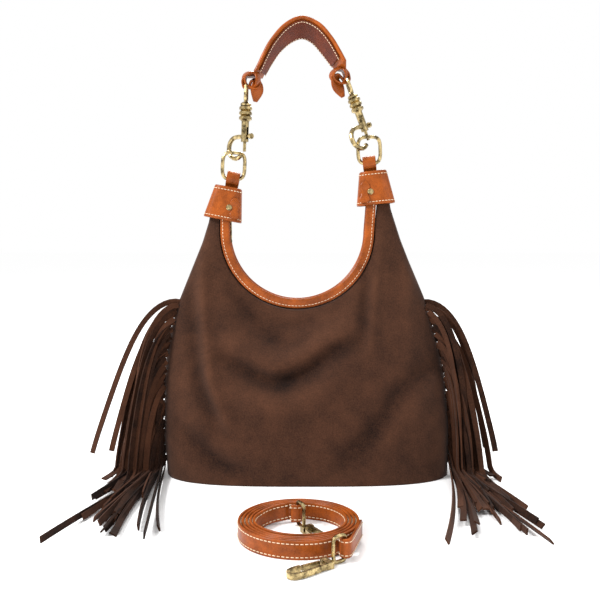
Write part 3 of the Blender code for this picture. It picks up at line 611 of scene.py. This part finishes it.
@dataclass
class BagBody:
    """Suede shell, lining, rims and zip."""

    shop: Workshop
    shape: BodyShape = field(default_factory=BodyShape)
    columns: int = 130
    rows: int = 96

    def shell(self, name: str, finish: Finish, node: str, inset: float, floor: float, top: float,
              wall: float, detail: float = 1.0) -> None:
        """Build one open-topped shell: a front and a back panel with their folds, and a base.

        Args:
            name: name of the piece.
            finish: its surface.
            node: frame node that it stands for.
            inset: how far it lies inside the suede.
            floor: height of its base.
            top: share of the full height that it covers.
            wall: thickness, grown inwards.
            detail: fineness of its mesh, where 1 is the suede's.
        """
        count, levels = int(self.columns * detail), int(self.rows * detail)
        grid = self.shape.front(count, levels, top, inset)
        x, z = grid[..., 0], grid[..., 2]
        from_mouth = np.hypot(x - self.shape.mouth_x, z - self.shape.mouth_z) - self.shape.mouth_radius - 6
        calm = np.clip(from_mouth / 22, 0, 1) * np.clip(z / 24, 0, 1)
        calm *= np.clip(-grid[..., 1] / 9, 0, 1) * np.clip((330 - z) / 30, 0, 1)
        panels, shades = [], []
        for folds, sign in ((FRONT_FOLDS, 1), (BACK_FOLDS, -1)):
            push = sum(f.push(x, z) for f in folds) * calm
            slack = 0.9 * np.sin(x / 17 + z / 41) * np.sin(z / 23 - x / 37) * calm
            y = np.minimum(grid[..., 1] - (push + slack), 0) * sign
            panels.append(np.stack([x, y, z * (1 - floor / 350) + floor], axis=-1))
            # The shade attribute is painted shade and painted highlight: negative and darker along a fold's
            # valleys, positive and lighter along its ridges.
            shades.append(np.clip(push / 8, -1.0, 0.6))
        loops = np.concatenate([panels[0], panels[1][:, -2:0:-1]], axis=1)
        shade = np.concatenate([shades[0], shades[1][:, -2:0:-1]], axis=1)
        mesh = loft(name, [[Vector(p) for p in row] for row in loops], caps=False)
        shape = bmesh.new()
        shape.from_mesh(mesh)
        shape.verts.ensure_lookup_table()
        shape.faces.new([shape.verts[i] for i in range(loops.shape[1])])
        bmesh.ops.recalc_face_normals(shape, faces=shape.faces)
        shape.to_mesh(mesh)
        shape.free()
        tone = mesh.attributes.new("shade", "FLOAT", "POINT")
        tone.data.foreach_set("value", shade.reshape(-1))
        item = to_object(name, mesh, self.shop.material(finish))
        skin = item.modifiers.new("wall", "SOLIDIFY")
        skin.thickness, skin.offset = wall * MM, -1.0
        self.shop.settle(item, finish, "bag", node)

    def rim(self, name: str, node: str, sign: int) -> None:
        """Rolled binding of one lip of the mouth, with its row of stitches on the outside.

        Args:
            name: name of the piece.
            node: frame node that it stands for.
            sign: -1 for the front lip, 1 for the back one.
        """
        shape = self.shape
        reach = shape.mouth_radius + 3.2
        flat = shape.mouth(shape.mouth_radius, (shape.mouth_x - reach, 331), (shape.mouth_x + reach, 349), 80)
        line = [flat[0].lerp(flat[1], t / 6) for t in range(6)] + flat[1:-1]
        line += [flat[-2].lerp(flat[-1], t / 6) for t in range(1, 7)]
        lowest = shape.mouth_z - shape.mouth_radius
        rings, seam = [], []
        for i, p in enumerate(line):
            run = (line[min(i + 1, len(line) - 1)] - line[max(i - 1, 0)]).normalized()
            outward = Vector((run.y, 0, -run.x))
            rise = max(0.0, min(1.0, (p.y - lowest) / (350 - lowest)))
            y = sign * (shape.rim_gap + (shape.ear_gap - shape.rim_gap) * rise ** 2)
            centre, depth = Vector((p.x, y, p.y)), Vector((0, 1, 0))
            ring = []
            for q in oval(Vector(), Vector((1, 0, 0)), Vector((0, 0, 1)), (6.0, 2.0), 3.2, 24):
                roll = 0.7 * math.exp(-((q.x + 3.6) / 2.0) ** 2) - 0.35 * math.exp(-((q.x - 2.9) / 0.9) ** 2)
                ring.append(centre + outward * q.x + depth * (q.z + math.copysign(roll, q.z)))
            rings.append(ring)
            seam.append(centre + outward * 2.9 + depth * sign * 1.95)
        item = to_object(name, loft(name, rings), self.shop.material(TAN))
        self.shop.settle(item, TAN, "bag", node)
        self.shop.sew(name + "_stitches", [seam], "bag", 4.2)

    def build(self) -> None:
        """Build every piece of the body."""
        self.shell("suede_shell", SUEDE, "suede_body", 0.0, 0.0, 1.0, 2.0)
        self.shell("cotton_lining", COTTON, "lining", 7.0, 6.6, 0.8, 0.8, 0.5)
        self.rim("front_binding", "rim_front", -1)
        self.rim("back_binding", "rim_back", 1)
        self.shop.dress("base_board", BOARD)
        for node in ("zip_tape_front", "zip_tape_back"):
            self.shop.dress(node, TAPE)
        for node in ("zip_slider", "zip_pull"):
            self.shop.dress(node, BRASS)


# ---- ears and hardware ----------------------------------------------------------------
@dataclass
class Ear:
    """Leather wrap, ring loop and rivet of one end of the mouth."""

    shop: Workshop
    side: Side
    foot: tuple[float, float]
    tilt: float
    height: float = 42.0
    half_width: tuple[float, float] = (24.4, 17.0)
    half_depth: tuple[float, float] = (14.0, 13.0)

    def ring(self, level: float, grow: float) -> list[Vector]:
        """One level of the wrap, creased where the leather gathers.

        Args:
            level: share of the wrap's height.
            grow: how far outside the leather's face the ring lies.

        Returns:
            The ring's points.
        """
        wide = self.half_width[0] + (self.half_width[1] - self.half_width[0]) * level
        deep = self.half_depth[0] + (self.half_depth[1] - self.half_depth[0]) * level
        lean = Matrix.Rotation(math.radians(self.tilt), 4, "Y")
        points = []
        for q in oval(Vector(), Vector((1, 0, 0)), Vector((0, 1, 0)), (wide + grow, deep + grow), 3.0, 72):
            crease = 0.45 * math.sin(q.x * 0.55 + level * 1.5) * math.sin(math.pi * level)
            place = Vector((q.x, q.y * (1 - 0.03 * crease), self.height * level))
            points.append(lean @ place + Vector((self.foot[0], 0, self.foot[1])))
        return points

    def build(self) -> None:
        """Build the wrap, its gathered flap and its stitches, and dress the rest."""
        label = self.side.name.lower()
        outer = [self.ring(level, grow) for level, grow in
                 [(0.0, -0.9), (0.015, -0.2)] + [(0.05 + 0.9 * i / 16, 0.0) for i in range(17)]
                 + [(0.985, -0.2), (1.0, -0.9)]]
        inner = [self.ring(level, -2.2) for level in (1.0, 0.5, 0.0)]
        wrap = to_object("wrap_" + label, loft("wrap_" + label, outer + inner, looped=True),
                         self.shop.material(TAN))
        self.shop.settle(wrap, TAN, "bag", "cuff_" + label)
        inward = -self.side.value
        lean = Matrix.Rotation(math.radians(self.tilt), 4, "Y")
        tuck = []
        for i in range(15):
            t = i / 14
            half = 5.6 + 1.3 * math.sin(t * 11) - 2.2 * (2 * t - 1) ** 6
            centre = Vector((inward * (15.5 - 3.0 * t), -self.half_depth[0] + 0.6 + 1.4 * t, 3.0 + 27.0 * t))
            centre.y -= 0.9 * math.sin(t * 9) + 0.6
            tuck.append([lean @ p + Vector((self.foot[0], 0, self.foot[1])) for p in oval(
                centre, Vector((1, 0.12 * inward, 0)), Vector((0, 1, 0)), (half, 1.2), 2.6, 20)])
        name = "tucked_flap_" + label
        gather = to_object(name, loft(name, tuck), self.shop.material(TAN))
        self.shop.settle(gather, TAN, "bag")
        rows = [self.ring(level, 0.15) for level in (0.09, 0.9)]
        self.shop.sew("wrap_stitches_" + label, [row + row[:1] for row in rows], "bag", 4.0)
        self.shop.dress("ring_loop_" + label, TAN)
        for node in ("rivet_", "ring_", "snap_body_", "snap_bolt_", "swivel_eye_"):
            self.shop.dress(node + label, BRASS)
        self.shop.dress("snap_spring_" + label, STEEL)


# ---- handle ---------------------------------------------------------------------------
@dataclass
class Handle:
    """Padded band over two swivel eyes, its under face lined and stitched."""

    shop: Workshop
    near: tuple = ((-66, 497), (-60, 508), (-54, 521), (-45, 537), (-28, 556), (-7, 565), (14, 557),
                   (29, 541), (39, 525), (46, 512))
    far: tuple = ((-58, 497), (-53, 506), (-46, 517), (-36, 530), (-22, 541), (-7, 546), (7, 540),
                  (19, 527), (28, 516), (36, 506))
    near_y: float = -16.0
    far_y: float = 15.0
    thick: float = 5.0
    lip_half: tuple[float, float, float] = (10.5, 2.6, 8.6)    # half width, twist and height of a slit's lip
    lip_section: tuple[float, float] = (1.6, 7.0)
    lip_steps: int = 28
    bar_height: float = 69.6       # from a snap's foot to the bar of its eye
    snaps: tuple = (((-78.3, -9.5, 414.1), 2.1, 1), ((73.1, 8.0, 429.8), -20.5, -1))

    def stations(self) -> list[tuple[Vector, Vector, Vector, float]]:
        """Places along the band.

        Returns:
            For each place its centre, width direction, inward direction and half width.
        """
        near = spline([Vector((x, self.near_y, z)) for x, z in self.near], 7)
        far = spline([Vector((x, self.far_y, z)) for x, z in self.far], 7)
        middles = [(a + b) / 2 for a, b in zip(near, far)]
        made = []
        for i, (a, b) in enumerate(zip(near, far)):
            run = (middles[min(i + 1, len(near) - 1)] - middles[max(i - 1, 0)]).normalized()
            across = (a - b).normalized()
            made.append((middles[i], across, run.cross(across).normalized(), (a - b).length / 2))
        return made

    def end(self, foot: tuple, tilt: float, sign: int) -> list[list[Vector]]:
        """One end of the band: through the eye, round its bar and out to the tongue.

        Args:
            foot: lower end of the snap.
            tilt: the snap's lean from upright in degrees.
            sign: direction of x from the snap to the middle of the bag.

        Returns:
            Rings from the band to the tongue's tip.
        """
        turn = Matrix.Translation(Vector(foot)) @ Matrix.Rotation(math.radians(tilt), 4, "Y")
        wrap, bar = 4.1, self.bar_height
        path = [(-sign * 2.4, bar + 10.0, 7.0), (-sign * 4.6, bar + 5.4, 4.6)]
        path += [(sign * wrap * math.cos(math.radians(d)), bar + wrap * math.sin(math.radians(d)), 3.3)
                 for d in (180, 215, 250, 290, 325, 360)]
        path += [(sign * 6.0, bar + 4.6, 4.8), (sign * 9.6, bar + 5.6, 7.0), (sign * 13.2, bar + 1.0, 8.5),
                 (sign * 13.0, bar - 8.0, 8.5), (sign * 11.5, bar - 20.0, 2.5)]
        line = spline([Vector(p) for p in path], 3)
        points = [turn @ Vector((p.x, 0, p.y)) for p in line]
        rings = []
        for i, p in enumerate(line):
            run = (points[min(i + 1, len(points) - 1)] - points[max(i - 1, 0)]).normalized() * -sign
            away = max(0.0, (i - 24) / (len(line) - 25))
            across = Matrix.Rotation(math.radians(-70 * sign) * away ** 0.5, 3, run) @ Vector((0, -1, 0))
            rings.append(oval(points[i], across, run.cross(across), (p.z, 1.7), 3.0, 28))
        return rings

    def slit_loop(self, foot: tuple, tilt: float, sign: int, turn: float) -> list[list[Vector]]:
        """One lip of the slit that the tongue is pulled through, closed on itself.

        Args:
            foot: lower end of the snap.
            tilt: the snap's lean from upright in degrees.
            sign: direction of x from the snap to the middle of the bag.
            turn: how far the lip is twisted, in degrees.

        Returns:
            Rings round the lip.
        """
        place = Matrix.Translation(Vector(foot)) @ Matrix.Rotation(math.radians(tilt), 4, "Y")
        place = place @ Matrix.Translation(Vector((sign * 6.5, 0, self.bar_height + 6.0)))
        place = place @ Matrix.Rotation(math.radians(turn), 4, "Y")
        place = place @ Matrix.Rotation(math.radians(turn * 0.6), 4, "Z")
        rings = []
        wide, twist, high = self.lip_half
        for i in range(self.lip_steps):
            a = 2 * math.pi * i / self.lip_steps
            out = Vector((math.cos(a), 0, math.sin(a)))
            centre = Vector((wide * out.x, twist * math.sin(2 * a), high * out.z))
            ring = oval(centre, out, Vector((0, 1, 0)), self.lip_section, 3.0, 16)
            rings.append([place @ p for p in ring])
        return rings

    def build(self) -> None:
        """Build the band, its knots, its under face and the stitches."""
        rings, under, rows = [], [], [[], []]
        stations = self.stations()
        for i, (centre, across, inward, half) in enumerate(stations):
            ring = []
            for q in oval(Vector(), Vector((1, 0, 0)), Vector((0, 0, 1)), (half, self.thick / 2), 3.4, 28):
                roll = 0.9 * math.exp(-((half - 3.0 - abs(q.x)) / 2.4) ** 2) * math.copysign(1, q.z)
                ring.append(centre + across * q.x + inward * (q.z + (roll if q.z < 0 else 0)))
            rings.append(ring)
            if 4 <= i < len(stations) - 4:
                face = centre + inward * 4.0
                under.append(oval(face, across, inward, (half - 3.0, 0.6), 4.0, 16))
                for row, way in zip(rows, (1, -1)):
                    row.append(face + inward * 0.75 + across * way * (half - 5.0))
        rings = self.end(*self.snaps[0])[::-1] + rings + self.end(*self.snaps[1])
        band = to_object("handle_band", loft("handle_band", rings), self.shop.material(TAN))
        self.shop.settle(band, TAN, "handle", "handle_strap")
        for snap, label in zip(self.snaps, ("left", "right")):
            for turn, place in ((38.0, "near"), (-44.0, "far")):
                name = f"slit_lip_{place}_{label}"
                lip = to_object(name, loft(name, self.slit_loop(*snap, turn * snap[2]), looped=True),
                                self.shop.material(TAN))
                self.shop.settle(lip, TAN, "handle")
        face = to_object("handle_under_face", loft("handle_under_face", under), self.shop.material(UNDERSIDE))
        self.shop.settle(face, UNDERSIDE, "handle", "handle_lining")
        self.shop.sew("handle_stitches", rows, "handle", 3.6)


# ---- shoulder strap -------------------------------------------------------------------
@dataclass
class ShoulderStrap:
    """Strap on edge in a coil, folded round a hook's ring at each end, stitched on both faces."""

    shop: Workshop
    centre: tuple[float, float] = (-10.0, -232.0)
    squash: float = 0.95
    width: float = 18.0
    thick: float = 2.9
    outer: float = 61.5
    pitch: float = 3.8
    turns: float = 4.697
    start: float = -14.0
    shift: float = -11.0
    drop: float = 10.5
    steps: int = 26
    ring_wire: float = 1.9
    ring_back: float = -14.6
    raised: float = 13.8
    hooks: tuple = (((20.0, -301.0), 215.0, 250.0, -1), ((-5.2, -217.5), -62.0, -6.0, -1))

    def coil(self) -> list[Vector]:
        """Plan of the coil.

        Returns:
            Points on its middle line, from the front end inwards.
        """
        points = []
        for i in range(int(self.turns * self.steps) + 1):
            turn = i / self.steps
            a = math.radians(self.start) - 2 * math.pi * turn
            step = max(0.0, min(1.0, (turn - 4.05) / 0.5))
            ease = step * step * (3 - 2 * step)
            radius = self.outer - self.pitch * turn - self.drop * ease
            points.append(Vector((self.centre[0] + self.shift * ease + radius * math.cos(a),
                                  self.centre[1] + radius * math.sin(a) * self.squash)))
        return points

    def fold(self, spot: tuple, heading: float, arrive: float, turn: int) -> list[Vector]:
        """Plan of the fold round one hook's ring.

        Args:
            spot: place of the hook.
            heading: where the hook points, in degrees.
            arrive: where the strap runs as it comes to the ring, in degrees.
            turn: 1 or -1, the way it goes round.

        Returns:
            Points from the strap round the ring and back.
        """
        ahead = Vector((math.cos(math.radians(heading)), math.sin(math.radians(heading))))
        bar = Vector(spot) + ahead * self.ring_back
        way = Vector((math.cos(math.radians(arrive)), math.sin(math.radians(arrive))))
        side = Vector((-way.y, way.x)) * turn
        wrap = self.ring_wire + 0.9 + self.thick / 2
        points = [bar - way * 9.0 - side * wrap]
        for degrees in (0, 45, 90, 135, 180):
            a = math.radians(degrees)
            points.append(bar - side * wrap * math.cos(a) + way * wrap * math.sin(a))
        return points + [bar - way * 6.0 + side * wrap]

    def build(self) -> None:
        """Build the strap and its stitches and dress the hooks."""
        ends = [self.fold(*hook) for hook in self.hooks]
        plan = ends[0][::-1] + self.coil() + ends[1]
        first, last = len(ends[0]), len(plan) - len(ends[1])
        heights = []
        for i in range(len(plan)):
            steps_in = max(first - 1 - i, i - last, -5)
            heights.append(self.width / 2 + (self.raised - self.width / 2) * min(1.0, 1 + steps_in / 5))
        line = spline([Vector((p.x, p.y, h)) for p, h in zip(plan, heights)], 3)
        rings, rows = [], [[], [], [], []]
        for i, p in enumerate(line):
            run = line[min(i + 1, len(line) - 1)] - line[max(i - 1, 0)]
            side = Vector((-run.y, run.x, 0)).normalized()
            rings.append(oval(p, side, Vector((0, 0, 1)), (self.thick / 2, self.width / 2), 5.0, 20))
            for row, (way, height) in zip(rows, ((1, 6.2), (1, -6.2), (-1, 6.2), (-1, -6.2))):
                row.append(p + side * way * (self.thick / 2 + 0.05) + Vector((0, 0, height)))
        strap = to_object("coiled_strap", loft("coiled_strap", rings), self.shop.material(TAN))
        self.shop.settle(strap, TAN, "strap", "shoulder_strap")
        self.shop.sew("strap_stitches", rows, "strap", 4.4)
        for letter in "ab":
            for node in ("strap_hook_", "strap_gate_", "strap_hook_eye_"):
                self.shop.dress(node + letter, BRASS)


# ---- fringe ---------------------------------------------------------------------------
@dataclass
class Fringe:
    """Cut strands sewn down one side seam: they spring out, fall, and splay on the floor."""

    shop: Workshop
    side: Side
    shape: BodyShape
    lean: float                    # how far from upright the outer strands hang, in degrees
    top: float = 214.0
    length: float = 238.0
    strands: int = 20
    layers: int = 2
    step: float = 7.0
    splay: float = 40.0            # how far a strand turns towards the front along its length
    most_forward: float = 84.0     # where the part on the floor points, from straight out
    spring: float = 34.0           # how soon a strand bends from its first direction to hanging
    landing: float = 14.0          # height over the floor in which it flattens
    reach: float = 60.0            # height below which it starts to turn to the front

    def seam(self) -> np.ndarray:
        """The edge of the bag's front panel.

        Returns:
            Array of points from the base up.
        """
        column = 0 if self.side is Side.LEFT else -1
        return self.shape.front(40, 80, 1.0, 0.0)[:, column]

    def strand(self, dice: random.Random, share: float, layer: int, seam: np.ndarray) -> list[Vector]:
        """Path of one strand.

        Args:
            dice: source of the strands' differences.
            share: place down the seam, from 0 at its top.
            layer: 0 for the strands that lean out furthest, 1 for those that hang closer.
            seam: the bag's edge.

        Returns:
            Points from the seam to the tip.
        """
        z = self.top - (self.top - 12.0) * share ** 1.1
        x = float(np.interp(z, seam[:, 2], seam[:, 0])) + self.side.value * (2.0 * layer - 3.5)
        place = Vector((x, -5.0 - 26.0 * share - 3.0 * layer + dice.uniform(-4, 4), z))
        forward = math.radians(8 + 46 * share ** 0.6 + 14 * layer + dice.uniform(-14, 14))
        lean = math.radians(self.lean * (1 - 0.4 * layer) * (1 - 0.55 * share) + dice.uniform(-4, 5))
        pitch = math.radians(10 - 66 * share ** 0.6 - 20 * layer + dice.uniform(-10, 10))
        curl = math.radians(self.splay) * dice.uniform(-0.2, 1.2)
        length = self.length * dice.uniform(0.82, 1.03)
        ahead = math.radians(self.most_forward + dice.uniform(-8, 22))
        points, done = [place.copy()], 0.0
        floor = 3.4 + 1.5 * layer + dice.uniform(0, 4.0)
        down = lean - math.pi / 2
        while done < length:
            blend = 1 - math.exp(-done / self.spring)
            rise = pitch + (down - pitch) * blend
            if place.z <= floor + self.landing:
                rise *= max(0.0, (place.z - floor) / self.landing)
            landed = max(0.0, 1 - place.z / self.reach)
            heading = forward + curl * done / length
            heading += (ahead - heading) * 0.8 * landed
            level = math.cos(rise)
            place = place + self.step * Vector((self.side.value * math.cos(heading) * level,
                                                -math.sin(heading) * level, math.sin(rise)))
            place.z = max(place.z, floor)
            points.append(place.copy())
            done += self.step
        return points

    def build(self) -> None:
        """Cut and hang the strands."""
        dice = random.Random(11 if self.side is Side.LEFT else 23)
        seam = self.seam()
        paths = []
        for layer in range(self.layers):
            for i in range(self.strands):
                share = (i + 0.5 * (layer % 2)) / self.strands
                paths.append(self.strand(dice, share, layer, seam))
        label = self.side.name.lower()
        tilts = [(dice.uniform(-0.5, 0.5), dice.uniform(-1.3, 1.3)) for _ in paths]
        item = self.shop.strips.run("strands_" + label, paths, self.shop.material(FRINGE_SUEDE), tilts,
                                    Width=6.8, Thickness=1.7)
        tones = [dice.uniform(-0.7, 0.5) for _ in paths]
        corners = len(item.data.vertices) // sum(len(path) for path in paths)
        shade = [tone for tone, path in zip(tones, paths) for _ in range(len(path) * corners)]
        item.data.attributes.new("shade", "FLOAT", "POINT").data.foreach_set("value", shade)
        item.data.polygons.foreach_set("use_smooth", [False] * len(item.data.polygons))
        self.shop.settle(item, FRINGE_SUEDE, "bag", "fringe_" + label)


# ---- studio ---------------------------------------------------------------------------
@dataclass
class Studio:
    """Pale floor, soft lights and the camera."""

    eye: tuple[float, float, float] = (-9.5, -955.0, 290.0)
    look_down: float = 4.42
    lens: float = 45.0

    def light(self, name: str, place: tuple, size: float, watts: float) -> None:
        """Square soft light that faces the middle of the bag.

        Args:
            name: name of the light.
            place: its place in metres.
            size: its side in metres.
            watts: its power.
        """
        data = bpy.data.lights.new(name, "AREA")
        data.size, data.energy = size, watts
        lamp = bpy.data.objects.new(name, data)
        bpy.context.scene.collection.objects.link(lamp)
        lamp.location = place
        lamp.rotation_euler = (Vector((0, 0, 0.25)) - Vector(place)).to_track_quat("-Z", "Y").to_euler()

    def build(self) -> None:
        """Set the floor, the lights, the world and the camera."""
        shape = bmesh.new()
        bmesh.ops.create_grid(shape, x_segments=2, y_segments=2, size=20.0)
        mesh = bpy.data.meshes.new("floor")
        shape.to_mesh(mesh)
        shape.free()
        paper = Finish("white paper", "board", "fdfdfd", "ffffff", 0.9, 400.0, 0.3, 3.0, 0.0,
                       specular=0.0).build()
        to_object("floor", mesh, paper)
        self.light("key", (-1.5, -0.9, 1.5), 0.5, 52.0)
        self.light("fill", (1.5, -1.2, 1.0), 1.2, 6.0)
        self.light("top", (0.1, 1.1, 1.7), 0.8, 30.0)
        world = bpy.data.worlds.new("studio")
        world.use_nodes = True
        world.node_tree.nodes["Background"].inputs["Color"].default_value = (1, 1, 1, 1)
        world.node_tree.nodes["Background"].inputs["Strength"].default_value = 1.0
        bpy.context.scene.world = world
        bpy.context.scene.view_settings.view_transform = "Standard"
        data = bpy.data.cameras.new("camera")
        data.lens = self.lens
        camera = bpy.data.objects.new("camera", data)
        bpy.context.scene.collection.objects.link(camera)
        camera.location = Vector(self.eye) * MM
        camera.rotation_euler = (math.radians(90 - self.look_down), 0, 0)
        bpy.context.scene.camera = camera


def main() -> None:
    """Build the bag's sub-assemblies in order."""
    logging.basicConfig(level=logging.INFO)
    shop = Workshop()
    body = BagBody(shop)
    body.build()
    Ear(shop, Side.LEFT, (-107.5, 318.0), 11.0).build()
    Ear(shop, Side.RIGHT, (86.5, 337.0), -6.0).build()
    Handle(shop).build()
    ShoulderStrap(shop).build()
    Fringe(shop, Side.LEFT, body.shape, 15.0).build()
    Fringe(shop, Side.RIGHT, body.shape, 12.0).build()
    Studio().build()


if __name__ == "__main__":
    main()
